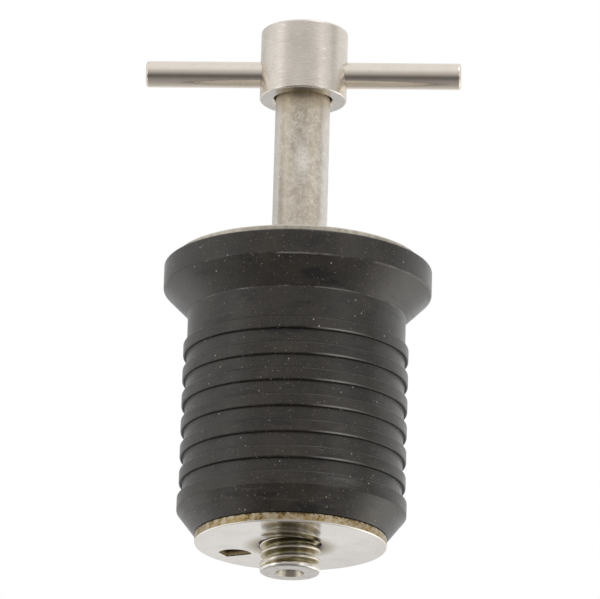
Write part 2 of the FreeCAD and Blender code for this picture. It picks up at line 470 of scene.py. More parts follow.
@dataclass(frozen=True)
class Steel(Finish):
    """Stainless steel whose tone drifts in soft clouds, with turning marks round its axis."""

    bright: Colour = (0.74, 0.675, 0.595)
    dull: Colour = (0.60, 0.54, 0.465)
    stain: Colour = (0.22, 0.15, 0.075)
    cloud_scale: float = 0.35
    cloud_share: float = 0.6
    stain_share: float = 0.0
    marks: float = 0.0
    scratches: float = 0.0
    spots: float = 0.0

    def wear(self, s: Skin) -> Tuple[Coat, ...]:
        """The piece's own coats."""
        return ()

    def look(self, s: Skin) -> Look:
        """Clouds, stains, the piece's own wear and dots, with marks on roughness and relief.

        Args:
            s: The surface.

        Returns:
            The look.
        """
        cloud, patch = s.grain(self.cloud_scale, 5.0, 0.62), s.grain(self.cloud_scale * 2.3, 4.0, 0.70)
        fine, dots = s.grain(6.0, 3.0, 0.60), s.flecks(1.6, 0.14, self.spots)
        wide = s.grain(5.0, 2.0, 0.60, (0.012, 0.012, 1.0))
        close = s.grain(13.0, 2.0, 0.60, (0.03, 0.03, 1.0))
        scratch = s.grain(3.0, 3.0, 0.70, (0.20, 0.20, 2.4))
        tooling = (wide.swing(0.6) + close.swing(0.4)) * self.marks + scratch.swing(self.scratches)
        tone = s.g.coats(
            self.bright,
            (self.dull, self.cloud_share, cloud.ramp(0.35, 0.80)),
            (self.stain, self.stain_share, patch.ramp(0.60, 0.80)),
            *self.wear(s),
            (self.stain, 0.80, dots))
        rough = fine.swing(0.12) + tooling * 0.25 + dots * 0.30
        return Look(tone, rough, tooling + fine * 0.25 + dots * -0.80)


@dataclass(frozen=True)
class TurnedHub(Steel):
    """Hub steel: turning marks broken into scratches, bright scuffs, and a ring under the foot painted duller
    as shade.
    """

    name: str = "turned_hub"
    roughness: float = 0.275
    relief: float = 0.000014
    bright: Colour = (0.690, 0.636, 0.568)
    dull: Colour = (0.573, 0.525, 0.463)
    # Duller tone for the scuffed streaks, and for the painted shade under the foot
    under: Colour = (0.52, 0.495, 0.465)
    glint: Colour = (0.98, 0.96, 0.93)
    marks: float = 0.5
    scratches: float = 1.1
    spots: float = 0.02
    foot: float = 36.47
    foot_edge: float = 6.75

    def wear(self, s: Skin) -> Tuple[Coat, ...]:
        """Scuffs along the turning marks, and painted shade on the ring under the foot.

        Args:
            s: The surface.

        Returns:
            The coats.
        """
        streak = s.grain(2.4, 4.0, 0.75, (0.30, 0.30, 2.2))
        below = s.z.ramp(self.foot + 0.06, self.foot + 0.01)
        return ((self.glint, 0.55, streak.ramp(0.54, 0.70)),
                (self.under, 0.60, streak.ramp(0.46, 0.30)),
                # Painted shade: the flat underside inside the foot's round is painted duller
                (self.under, 1.00, below * s.radius.ramp(self.foot_edge + 0.1, self.foot_edge)))


@dataclass(frozen=True)
class ShearedPlate(Steel):
    """Weathered plate whose edge is bright above and dark beside the rubber."""

    name: str = "sheared_plate"
    roughness: float = 0.42
    relief: float = 0.00003
    bright: Colour = (0.52, 0.48, 0.41)
    dull: Colour = (0.31, 0.28, 0.23)
    # Darker tone towards the foot, beside the rubber
    dark_foot: Colour = (0.10, 0.085, 0.065)
    # Light tone for the band along the upper edge
    near_white: Colour = (0.78, 0.75, 0.69)
    cloud_scale: float = 0.8
    cloud_share: float = 1.0
    stain_share: float = 0.35
    spots: float = 0.25
    foot: float = 7.94
    thickness: float = 1.20

    def wear(self, s: Skin) -> Tuple[Coat, ...]:
        """A dark foot and a bright upper edge."""
        # Darker towards the foot beside the rubber, and lighter in a band along the upper edge
        return ((self.dark_foot, 0.55, s.z.ramp(self.foot + 0.75, self.foot + 0.10)),
                (self.near_white, 0.55, s.z.bell(self.foot + self.thickness - 0.08, 0.22)))


@dataclass(frozen=True)
class WaterStainedShank(Finish):
    """Dull mottled stainless steel with streaks, water marks, a warm tint under the hub, painted shade on the
    left and in two upright bands, and a painted sheen along both sides.
    """

    name: str = "stained_shank"
    roughness: float = 0.38
    relief: float = 0.000016
    bright: Colour = (0.69, 0.63, 0.55)
    dull: Colour = (0.47, 0.41, 0.325)
    stain: Colour = (0.45, 0.36, 0.22)
    spot: Colour = (0.25, 0.19, 0.12)
    pale: Colour = (0.88, 0.845, 0.785)
    # Water-stain tone, also used as painted shade on the left
    wet_stain_and_shade: Colour = (0.31, 0.275, 0.24)
    film: Colour = (0.42, 0.375, 0.295)
    # Painted sheen: the lighter tone along both sides of the shank
    side_sheen: Colour = (0.75, 0.735, 0.71)
    hub_foot: float = 36.47
    plate_top: float = 9.14
    # Where the water stain and the painted shade on the left are centred
    dark_side: float = -2.9
    splash_height: float = 25.0

    def look(self, s: Skin) -> Look:
        """Mottled steel, water stains and painted shade on the left, painted shade in two upright bands, a
        painted sheen along both sides, a splash, and a warm tint and dots over all.

        Args:
            s: The surface.

        Returns:
            The look.
        """
        top, dark_side = self.plate_top, self.dark_side
        cloud, grain = s.grain(0.75, 6.0, 0.72), s.grain(2.1, 5.0, 0.78)
        streak, drops = s.grain(1.6, 4.0, 0.65, (1.0, 1.0, 0.14)), s.grain(0.75, 3.0, 0.50, (1.0, 1.0, 0.70))
        mottle = s.grain(1.5, 5.0, 0.80, (1.0, 1.0, 0.60))
        splash = s.z.bell(self.splash_height, 4.2) * s.x.bell(0.4, 1.7)
        mottled_zone = most(s.z.ramp(24.0, 28.0), s.x.bell(1.7, 1.9)) * s.x.bell(-0.2, 4.2).ramp(0.10, 0.35)
        dots, glints = s.flecks(1.5, 0.14, 0.09), s.flecks(0.9, 0.16, 0.14)
        tone = s.g.coats(
            self.bright,
            (self.dull, 0.70, cloud.ramp(0.40, 0.60)),
            (self.dull, 0.90, grain.ramp(0.52, 0.68)),
            (self.pale, 0.70, grain.ramp(0.46, 0.30)),
            (self.dull, 0.45, streak.ramp(0.55, 0.75)),
            (self.pale, 0.30, drops.bell(0.56, 0.03)),
            # Water stain on the left, darkened further as painted shade
            (self.wet_stain_and_shade, 0.55, s.z.ramp(top + 21.0, top + 4.0) * s.x.bell(dark_side, 2.0)),
            # Painted shade in two upright bands, left and right of the middle
            (self.dull, 0.45, s.x.bell(-2.5, 1.5)),
            (self.dull, 0.25, s.x.bell(2.0, 1.1)),
            (self.film, 0.65, mottled_zone * mottle.ramp(0.46, 0.58)),
            # Painted sheen along both sides of the shank
            (self.side_sheen, 0.50, s.x.math("ABSOLUTE").ramp(3.0, 3.7)),
            (self.wet_stain_and_shade, 0.55, s.z.ramp(27.0, 22.0) * s.x.bell(dark_side, 0.7) * grain.ramp(0.34, 0.52)),
            (self.pale, 1.00, splash * grain.ramp(0.40, 0.50)),
            (self.stain, 0.55, s.z.ramp(self.hub_foot - 4.5, self.hub_foot - 0.3)),
            (self.spot, 0.60, dots),
            (self.pale, 1.00, glints))
        rough = cloud.swing(0.20) + grain.swing(0.25) + glints * -0.20
        return Look(tone, rough, grain * 0.90 + cloud + streak * 0.60 + dots * -1.0)


@dataclass(frozen=True)
class RolledThread(Finish):
    """Rolled thread: bright crests, olive lower flanks, greyer upper flanks, and a plain drilled end."""

    name: str = "rolled_thread"
    roughness: float = 0.20
    crest: Colour = (0.69, 0.635, 0.555)
    olive: Colour = (0.30, 0.255, 0.105)
    umber: Colour = (0.40, 0.335, 0.225)
    upper: Colour = (0.56, 0.56, 0.57)
    face: Colour = (0.52, 0.49, 0.45)
    # Smudge tone of the end face, also the painted shade inside the hole
    smudge_and_shade: Colour = (0.34, 0.315, 0.27)
    # Painted light: the drilled hole is coloured bright, standing in for light reaching into it
    hole: Colour = (0.80, 0.73, 0.62)
    # Painted highlight colour for the end's edge
    glint: Colour = (0.97, 0.95, 0.92)
    crest_radius: float = 4.76
    hole_radius: float = HOLE_RADIUS
    end_ring: float = 0.30
    foot: float = -42.0
    pitch: float = THREAD_PITCH
    start_turn: float = THREAD_START

    def look(self, s: Skin) -> Look:
        """Crests with discoloured flanks between them, then the end face, a painted highlight on its edge,
        and its hole in painted light and shade.

        Args:
            s: The surface.

        Returns:
            The look.
        """
        foot, rim, bore = self.foot, self.foot + self.end_ring, self.hole_radius
        cloud, fine = s.grain(0.9, 4.0, 0.60), s.grain(8.0, 3.0, 0.60)
        turn = s.y.math("ARCTAN2", s.x) * (1.0 / (2 * math.pi))
        phase = (s.z * (1.0 / self.pitch) - turn - self.start_turn).math("FRACT")
        depth = s.radius.ramp(self.crest_radius - 0.03, self.crest_radius - 0.22)
        # Painted shade inside the hole, towards its sides and farther in
        shade = most(s.x.math("ABSOLUTE").ramp(1.45, 1.85), s.z.ramp(foot + 0.5, foot + 1.3))
        flank = s.g.coats(self.olive, (self.umber, 1.0, s.grain(0.55, 3.0, 0.60, FLAT).ramp(0.40, 0.62)),
                          (self.upper, 1.0, phase.ramp(0.52, 0.60)))
        face = s.g.coats(self.face, (self.smudge_and_shade, 0.6, cloud.ramp(0.45, 0.70)))
        hole = s.g.coats(self.hole, (self.smudge_and_shade, 0.8, shade))
        tone = s.g.coats(
            self.crest,
            (flank, 1.00, depth * cloud.ramp(0.10, 0.34)),
            (face, 1.00, s.z.ramp(rim + 0.15, rim)),
            # Painted highlight round the end's edge
            (self.glint, 0.85, s.z.bell(rim, 0.24) * s.radius.ramp(3.4, 4.0)),
            (hole, 1.00, s.radius.ramp(bore + 0.04, bore - 0.02)))
        return Look(tone, fine.swing(0.10) + depth * 0.05, fine)


@dataclass(frozen=True)
class PolishedPlate(Finish):
    """Polished disc with rust stains on its sheared rim, soiling and painted shade round its threaded mouth,
    a rusty window with painted shade on its walls, and a painted highlight along the rim's lower edge.
    """

    name: str = "polished_plate"
    roughness: float = 0.11
    relief: float = 0.000003
    bright: Colour = (0.678, 0.647, 0.600)
    dull: Colour = (0.603, 0.574, 0.533)
    far: Colour = (0.30, 0.295, 0.29)
    edge_pale: Colour = (0.50, 0.44, 0.33)
    edge_gold: Colour = (0.36, 0.255, 0.11)
    edge_dark: Colour = (0.075, 0.055, 0.03)
    # Brown of grime, also used for the painted shade round the mouth
    grime_and_shade: Colour = (0.22, 0.165, 0.075)
    # Painted shade colour at the edge of the mouth
    mouth_shade: Colour = (0.12, 0.095, 0.065)
    # Near-white, for the pale haze and for the painted highlight on the rim's lower edge
    near_white: Colour = (0.95, 0.92, 0.87)
    window_gold: Colour = (0.55, 0.42, 0.22)
    # Rust brown, darkened as painted shade for the window's walls
    window_rust_and_shade: Colour = (0.078, 0.056, 0.032)
    gold_side: float = -11.4
    rim_radius: float = 14.97
    mouth_radius: float = 5.2
    foot: float = -37.6
    thickness: float = SHEET

    def look(self, s: Skin) -> Look:
        """Hazy polish, soiling and painted shade at the mouth, the rim's patches, the window's walls in rust
        and painted shade, and a painted highlight along the rim's lower edge.

        Args:
            s: The surface.

        Returns:
            The look.
        """
        foot, edge, mouth, gold = self.foot, self.rim_radius, self.mouth_radius, self.gold_side
        cloud, haze = s.grain(0.30, 4.0, 0.60), s.grain(0.8, 4.0, 0.65, (1.0, 0.35, 1.0))
        blot, fine = s.grain(1.1, 5.0, 0.70), s.grain(9.0, 3.0, 0.60)
        rust, pits = s.grain(0.9, 6.0, 0.68), s.grain(3.2, 3.0, 0.60)
        rim = s.radius.ramp(edge - 0.02, edge + 0.08) * s.z.ramp(foot + 0.12, foot + 0.22)
        at_edge = s.radius.ramp(edge - 0.05, edge + 0.05) * s.z.ramp(foot, foot + 0.26)
        # Painted highlight: a thin bright line along the rim's lower edge
        edge_highlight = at_edge * (1.0 - at_edge) * 4.0
        # Grime round the mouth with painted shade in it, strongest on the left and right
        mouth_grime_and_shade = (s.radius.ramp(mouth + 2.9, mouth - 0.2) * s.x.math("ABSOLUTE").ramp(2.8, 4.8)
                   * blot.ramp(0.0, 0.50) * 0.95)
        # Mask of the walls above the bottom face, away from the rim and the mouth: rust with painted shade,
        # rougher and less metallic
        walls_rust_and_shade = (s.z.ramp(foot + 0.10, foot + 0.25) * s.radius.ramp(mouth + 2.4, mouth + 2.6) * (1.0 - rim))
        dark = (rust.swing(1.2) + pits.swing(1.0)
                + s.z.ramp(foot + self.thickness * 0.60, foot + self.thickness * 0.98) * 0.24)
        sheared = s.g.coats(self.edge_pale, (self.edge_gold, 1.00, rust.ramp(0.38, 0.60)),
                            (self.edge_dark, 0.85, dark.ramp(0.10, 0.30)))
        # The window's walls: gold low on the left, elsewhere rust brown that is also painted shade
        window = s.g.mix(s.x.ramp(gold - 0.5, gold + 0.3) * s.z.ramp(foot + 0.3, foot + 0.9),
                         self.window_gold, self.window_rust_and_shade)
        tone = s.g.coats(
            self.bright,
            (self.dull, 0.75, cloud.ramp(0.35, 0.70)),
            (self.near_white, 0.14, haze.ramp(0.52, 0.75)),
            (self.far, 0.22, (s.x * 0.035 + s.y * 0.06).ramp(-0.05, 0.85)),
            (self.grime_and_shade, 1.00, mouth_grime_and_shade),
            # Painted shade right at the mouth's edge
            (self.mouth_shade, 0.95, s.radius.ramp(mouth + 0.45, mouth - 0.10) * blot.ramp(0.05, 0.35)),
            (self.grime_and_shade, 0.60, s.flecks(1.2, 0.10, 0.05)),
            (sheared, 1.00, rim),
            (window, 1.00, walls_rust_and_shade),
            (self.near_white, 1.00, edge_highlight))
        rough = (rim * 0.30 + edge_highlight * 0.25 + mouth_grime_and_shade * 0.12 + fine.swing(0.05) + cloud.swing(0.08)
                 + walls_rust_and_shade * 0.30)
        return Look(tone, rough, fine * 0.2 + cloud * 2.0 + rim * blot * 10.0, walls_rust_and_shade * -0.7)


def rounded(corners: Sequence[Corner], closed: bool, steps: int = 5) -> Outline:
    """Rounds the corners of an outline of radii and heights.

    Args:
        corners: Radius, height and rounding radius of each corner, in millimetres.
        closed: Whether the outline runs back to its first corner.
        steps: Edges in each round.

    Returns:
        The outline's points, in metres.
    """
    points: Outline = []
    count = len(corners)
    for index, (radius, height, bend) in enumerate(corners):
        here = Vector((radius, height))
        end = not closed and index in (0, count - 1)
        if bend <= 0 or end:
            points.append((radius * MM, height * MM))
            continue
        before = Vector(corners[index - 1][:2]) - here
        after = Vector(corners[(index + 1) % count][:2]) - here
        half = before.angle(after) / 2
        reach = min(bend / math.tan(half), EDGE_SHARE * before.length, EDGE_SHARE * after.length)
        inner = reach * math.tan(half)
        centre = here + (before.normalized() + after.normalized()).normalized() * (inner / math.sin(half))
        start = here + before.normalized() * reach - centre
        turn = start.angle_signed(here + after.normalized() * reach - centre)
        for step in range(steps + 1):
            spoke = start.copy()
            spoke.rotate(Matrix.Rotation(-turn * step / steps, 2))
            points.append(((centre.x + spoke.x) * MM, (centre.y + spoke.y) * MM))
    return braced(points, closed)


def braced(points: Outline, closed: bool, reach: float = 0.03 * MM, least: float = 0.4 * MM) -> Outline:
    """Adds a point just inside both ends of each long edge, so that flat stretches shade flat.

    Args:
        points: The outline, in metres.
        closed: Whether it runs back to its first point.
        reach: How far inside the ends the new points lie.
        least: The shortest edge that gets them.

    Returns:
        The outline with the points added.
    """
    out: Outline = []
    following = points[1:] + (points[:1] if closed else [])
    for start, end in zip(points, following):
        out.append(start)
        edge = Vector(end) - Vector(start)
        if edge.length > least:
            step = edge.normalized() * reach
            out += [tuple(Vector(start) + step), tuple(Vector(end) - step)]
    return out if closed else out + points[-1:]


def ring(mesh: Mesh, radii: Sequence[float], height: float) -> Row:
    """Adds a row of points round the Z axis, or one point for all where the radii are 0.

    Args:
        mesh: The mesh.
        radii: The radius at each of the row's even turns, in metres.
        height: The row's height.

    Returns:
        The row's points.
    """
    count = len(radii)
    if max(radii) < ON_AXIS:
        return [mesh.verts.new((0.0, 0.0, height))] * count
    turns = [2 * math.pi * k / count for k in range(count)]
    return [mesh.verts.new((r * math.cos(a), r * math.sin(a), height)) for r, a in zip(radii, turns)]


def wall(mesh: Mesh, rows: Sequence[Row], closed: bool) -> None:
    """Joins rows of points with faces.

    Args:
        mesh: The mesh.
        rows: Rows of as many points each, in order.
        closed: Whether the last row joins the first.
    """
    pairs = list(zip(rows, rows[1:])) + ([(rows[-1], rows[0])] if closed else [])
    for low, high in pairs:
        for k in range(len(low)):
            following = (k + 1) % len(low)
            corners = [low[k], low[following], high[following], high[k]]
            mesh.faces.new(list(dict.fromkeys(corners)))


def lathe(name: str, outline: Outline, segments: int, closed: bool = False) -> Piece:
    """Turns an outline round the Z axis.

    Args:
        name: The piece's name.
        outline: Radii and heights, in metres.
        segments: Faces round the axis.
        closed: Whether the outline runs back to its first point.

    Returns:
        The linked object.
    """
    mesh = bmesh.new()
    wall(mesh, [ring(mesh, [radius] * segments, height) for radius, height in outline], closed)
    return finished(name, mesh)


def finished(name: str, mesh: Mesh, sharp: float = SHARP) -> Piece:
    """Turns a bmesh into a smooth-shaded object with its faces outwards.

    Args:
        name: The object's name.
        mesh: The bmesh, which is freed.
        sharp: The angle in degrees above which an edge stays crisp.

    Returns:
        The linked object.
    """
    bmesh.ops.recalc_face_normals(mesh, faces=mesh.faces)
    data = bpy.data.meshes.new(name)
    mesh.to_mesh(data)
    mesh.free()
    data.polygons.foreach_set("use_smooth", [True] * len(data.polygons))
    data.set_sharp_from_angle(angle=math.radians(sharp))
    made = bpy.data.objects.new(name, data)
    bpy.context.scene.collection.objects.link(made)
    return made


def carve(piece: Piece, tool: Piece, carving: Carving = Carving.CUT) -> None:
    """Cuts a tool's shape out of a piece, or joins it, and deletes the tool.

    Args:
        piece: The piece that changes.
        tool: The shape that is cut out or joined.
        carving: Which of the two is done.
    """
    change = piece.modifiers.new("carve", "BOOLEAN")
    change.operation = carving.value
    change.solver = "EXACT"
    change.object = tool
    bpy.context.view_layer.update()
    graph = bpy.context.evaluated_depsgraph_get()
    data = bpy.data.meshes.new_from_object(piece.evaluated_get(graph))
    piece.modifiers.clear()
    piece.data = data
    data.name = piece.name
    data.set_sharp_from_angle(angle=math.radians(SHARP))
    bpy.data.objects.remove(tool)


def arc(start: Sequence[float], middle: Sequence[float], end: Sequence[float], steps: int) -> Outline:
    """Points along the circle through three points, from the first to the last.

    Args:
        start: The first point.
        middle: A point between them.
        end: The last point.
        steps: Edges in the arc.

    Returns:
        The points.
    """
    a, b, c = Vector(start), Vector(middle), Vector(end)
    ab, ac = b - a, c - a
    across = 2.0 * (ab.x * ac.y - ab.y * ac.x)
    centre = a + Vector((ac.y * ab.length_squared - ab.y * ac.length_squared,
                         ab.x * ac.length_squared - ac.x * ab.length_squared)) / across
    first = math.atan2(a.y - centre.y, a.x - centre.x)
    sweep = (math.atan2(c.y - centre.y, c.x - centre.x) - first) % (2 * math.pi)
    turns = [first + sweep * k / steps for k in range(steps + 1)]
    radius = (a - centre).length
    return [(centre.x + radius * math.cos(turn), centre.y + radius * math.sin(turn)) for turn in turns]


def prism(name: str, outline: Outline, low: float, high: float, sharp: float = 30.0) -> Piece:
    """A straight prism along Z, from a closed outline in X and Y.

    Args:
        name: The object's name.
        outline: Its corners, in metres.
        low: The height of its lower end.
        high: The height of its upper end.
        sharp: The angle in degrees above which an edge stays crisp.

    Returns:
        The linked object.
    """
    mesh = bmesh.new()
    foot, head = ([mesh.verts.new((x, y, height)) for x, y in outline] for height in (low, high))
    mesh.faces.new(foot)
    mesh.faces.new(head)
    wall(mesh, [foot, head], False)
    return finished(name, mesh, sharp)


def across(piece: Piece, height: float) -> None:
    """Lays a piece that was turned round Z along X, at a height in metres."""
    piece.data.transform(Matrix.Rotation(math.pi / 2, 4, "Y"))
    piece.data.transform(Matrix.Translation((0.0, 0.0, height)))


def box_mm(node: str) -> Tuple[Vector, Vector]:
    """A solid's lowest and highest corner, in millimetres."""
    low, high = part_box(node)
    return low / MM, high / MM


def dress(piece: Piece, *materials: Material) -> None:
    """Gives a piece its materials.

    Args:
        piece: The piece.
        materials: The materials in order.
    """
    piece.data.materials.clear()
    for material in materials:
        piece.data.materials.append(material)


def settle(piece: Piece, body: Body, node: str, slot: str, *finishes: Finish) -> None:
    """Dresses a modelled piece and puts it in the place of a solid.

    Args:
        piece: The piece.
        body: The body that it moves with.
        node: The solid's node.
        slot: Not used.
        finishes: Its finishes in order.
    """
    dress(piece, *(finish.build() for finish in finishes))
    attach(piece, body.value)
    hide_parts(node)
    LOG.info("%s: %d faces, in place of %s", piece.name, len(piece.data.polygons), node)


@dataclass
class TabWindow:
    """The tongue that was cut from the bottom plate and bent up into the rubber, in millimetres."""

    x: float = -8.97
    y: float = 4.84
    width: float = 4.32
    face: float = 1.35
    side: float = 1.60
    nose: float = 2.29
    nose_share: float = 0.45
    thickness: float = SHEET
    height: float = 2.60
    nose_steps: int = 24
    angle: float = math.radians(-24.0)

    def placed(self, outline: Outline) -> Outline:
        """Turns and moves points from the tongue's own place to the plate's, in metres."""
        cos, sin = math.cos(self.angle), math.sin(self.angle)
        return [((self.x + cos * x - sin * y) * MM, (self.y + sin * x + cos * y) * MM) for x, y in outline]

    def window(self) -> Outline:
        """The hole's outline: two straight sides, and a round nose through three points."""
        half = self.width / 2
        foot, middle, hinge = (-half, -self.side), (half * self.nose_share, -self.nose), (half, self.face)
        return self.placed([(-half, self.face)] + arc(foot, middle, hinge, self.nose_steps))

    def tongue(self, extra: float) -> Outline:
        """The standing tongue's footprint, grown by extra."""
        half = self.width / 2 + extra
        front, back = self.face - extra, self.face + self.thickness + extra
        return self.placed([(-half, front), (half, front), (half, back), (-half, back)])


@dataclass
class RubberPlug:
    """The moulded plug: flange, seat, neck, six lands, end land and cone, in millimetres."""

    neck: float = 17.34
    neck_length: float = NECK_LENGTH
    land: float = LAND_RADIUS
    land_height: float = LAND_HEIGHT
    land_pitch: float = LAND_PITCH
    lands: int = 6
    end_land: float = 18.13
    end_land_height: float = 2.20
    end_face: float = 15.25
    bore: float = 5.11
    pocket: float = 6.55
    pocket_depth: float = 4.60
    tongue_room: float = 0.35
    tongue_headroom: float = 0.80
    face_round: float = 0.20
    cone_round: float = 0.35
    end_round: float = 0.22
    end_root: float = 0.16
    land_foot_root: float = 0.26
    land_foot_round: float = 0.20
    land_top_round: float = 0.26
    land_top_root: float = 0.12
    seat_root: float = 0.35
    flange_foot_round: float = 0.45
    flange_top_round: float = 0.25
    round_steps: int = 4
    segments: int = 288

    def outline(self) -> Outline:
        """The section's outline, with its moulded rounds.

        Returns:
            Radii and heights, in metres.
        """
        low, high = box_mm("rubber_plug")
        flange, foot, head = high.x, low.z, high.z
        end_top = -(self.neck_length + self.lands * self.land_pitch)
        corners: List[Corner] = [
            (self.end_face, foot, self.face_round),
            (self.end_land, end_top - self.end_land_height, self.cone_round),
            (self.end_land, end_top, self.end_round),
            (self.neck, end_top, self.end_root),
        ]
        for land in reversed(range(self.lands)):
            top = -(self.neck_length + land * self.land_pitch)
            bottom = top - self.land_height
            corners += [(self.neck, bottom, self.land_foot_root), (self.land, bottom, self.land_foot_round),
                        (self.land, top, self.land_top_round), (self.neck, top, self.land_top_root)]
        corners += [(self.neck, 0.0, self.seat_root), (flange, flange - self.neck, self.flange_foot_round),
                    (flange, head, self.flange_top_round), (self.bore, head, 0.0),
                    (self.bore, foot + self.pocket_depth, 0.0), (self.pocket, foot + self.pocket_depth, 0.0),
                    (self.pocket, foot, 0.0)]
        return rounded(corners, True, self.round_steps)

    def build(self, window: TabWindow) -> Piece:
        """Models the plug with its pocket for the tongue.

        Args:
            window: The tongue that the pocket makes room for.

        Returns:
            The piece.
        """
        piece = lathe("ribbed_rubber", self.outline(), self.segments, True)
        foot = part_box("rubber_plug")[0].z
        top = foot + (window.height + self.tongue_headroom) * MM
        carve(piece, prism("tongue_room", window.tongue(self.tongue_room), foot - MM, top))
        return piece

    def place(self, piece: Piece, lift: float) -> None:
        """Dresses the plug and gives it its own copy of its mesh.

        Args:
            piece: The plug.
            lift: How far the plate rises at most, in metres.
        """
        settle(piece, Body.PLUG, "rubber_plug", "rubber", MouldedRubber())
        low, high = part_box("rubber_plug")
        keep = 1.0 - lift / (high.z - low.z)
        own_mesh(piece)


@dataclass
class ScrewStem:
    """The stem: rolled 60 degree thread, run-out, plain shank and drilled lower end, in millimetres."""

    crest: float = 4.7625
    pitch: float = THREAD_PITCH
    depth: float = 0.97
    crest_share: float = 0.17
    root_share: float = 0.84
    root_ease: float = 0.25
    shank: float = 4.40
    thread_top: float = -24.2
    end_round: float = 0.42
    end_ring: float = 0.55
    run_out: float = 1.1
    hole: float = HOLE_RADIUS
    hole_edge: float = 0.10
    taper: float = 0.76
    taper_round: float = 0.30
    sink: float = 1.5
    hole_depth: float = 5.0
    drill_point: float = 1.35
    start_turn: float = THREAD_START
    segments: int = 128
    rows_per_pitch: int = 30
    round_steps: int = 4
    sharp: float = 50.0

    def thread_radius(self, turn: float, height: float) -> float:
        """The thread's radius, before its ends are shaped.

        Args:
            turn: The place round the axis, from 0 to 1.
            height: The height.

        Returns:
            The radius.
        """
        phase = (height / self.pitch - turn - self.start_turn) % 1.0
        away = abs(phase - MIDDLE) / MIDDLE
        flank = min(max((away - self.crest_share) / (self.root_share - self.crest_share), 0.0), 1.0)
        eased = flank * flank * (3.0 - 2.0 * flank)
        return self.crest - self.depth * ((1.0 - self.root_ease) * flank + self.root_ease * eased)

    def radius(self, turn: float, height: float, foot: float) -> float:
        """The stem's outer radius, with its rounded lower edge and the thread's run-out.

        Args:
            turn: The place round the axis, from 0 to 1.
            height: The height.
            foot: The height of the lower end.

        Returns:
            The radius.
        """
        rise = height - foot
        below = max(0.0, 1.0 - rise / self.end_round)
        edge = self.crest - self.end_round * (1.0 - math.sqrt(1.0 - below * below))
        filled = max(0.0, 1.0 - (rise - self.end_ring) * self.run_out)
        thread = edge if rise < self.end_ring else min(self.thread_radius(turn, height) + filled, edge)
        fade = min(max((self.thread_top - height) / self.pitch, 0.0), 1.0)
        return self.shank + (thread - self.shank) * fade

    def build(self) -> Piece:
        """Models the whole stem as one closed mesh.

        Returns:
            The piece.
        """
        low, high = box_mm("stem")
        foot, head = low.z, high.z
        narrow, hole_top = self.hole * self.taper, foot + self.hole_depth
        inside = rounded([
            (0.0, hole_top + self.drill_point, 0.0),
            (narrow, hole_top, 0.0),
            (narrow, foot + self.sink, self.taper_round),
            (self.hole, foot, self.hole_edge),
            (self.crest - self.end_round, foot, 0.0),
        ], False, self.round_steps)
        thread_rows = int((self.thread_top - foot) / self.pitch * self.rows_per_pitch)
        step = (self.thread_top - foot) / thread_rows
        turns = [k / self.segments for k in range(self.segments)]
        mesh = bmesh.new()
        rows = [ring(mesh, [radius] * self.segments, height) for radius, height in inside]
        for height in [foot + step * (k + 1) for k in range(thread_rows)] + [0.0, head]:
            rows.append(ring(mesh, [self.radius(turn, height, foot) * MM for turn in turns], height * MM))
        rows.append(ring(mesh, [0.0] * self.segments, head * MM))
        wall(mesh, rows, False)
        return finished("threaded_stem", mesh, self.sharp)

    def place(self, piece: Piece) -> None:
        """Dresses the shank and the thread.

        Args:
            piece: The stem.
        """
        shank = WaterStainedShank(hub_foot=box_mm("handle_hub")[0].z)
        settle(piece, Body.HANDLE, "stem", "stem_steel", shank, RolledThread(foot=box_mm("stem")[0].z))
        for face in piece.data.polygons:
            face.material_index = 1 if face.center.z < self.thread_top * MM else 0


@dataclass
class ClampDisc:
    """The bottom plate: polished disc, drawn mouth and collar, window and tongue, in millimetres."""

    edge: float = 0.20
    mouth_round: float = 0.55
    dish: float = 0.10
    dish_radius: float = 7.3
    dish_round: float = 12.0
    bore: float = 4.80
    collar: float = 6.14
    collar_edge: float = 0.10
    seam: float = 0.01
    round_steps: int = 8
    segments: int = 256

    def build(self, window: TabWindow) -> Piece:
        """Models the disc as one closed mesh.

        Args:
            window: The tongue and the hole that it leaves.

        Returns:
            The piece.
        """
        low, high = box_mm("bottom_plate")
        foot, top = low.z, box_mm("rubber_plug")[0].z
        outline = rounded([
            (self.bore, high.z, 0.0),
            (self.bore, foot + self.dish, self.mouth_round),
            (self.dish_radius, foot, self.dish_round),
            (high.x, foot, self.edge),
            (high.x, top, self.edge),
            (self.collar, top, 0.0),
            (self.collar, high.z, self.collar_edge),
        ], True, self.round_steps)
        piece = lathe("clamp_disc", outline, self.segments, True)
        carve(piece, prism("window", window.window(), foot * MM - MM, top * MM + MM))
        tongue = prism("tongue", window.tongue(-self.seam), (foot + self.seam) * MM,
                       (top + window.height) * MM)
        carve(piece, tongue, Carving.JOIN)
        return piece

    def place(self, piece: Piece) -> None:
        """Dresses the disc."""
        settle(piece, Body.CLAMP, "bottom_plate", "bottom_plate_steel", PolishedPlate())


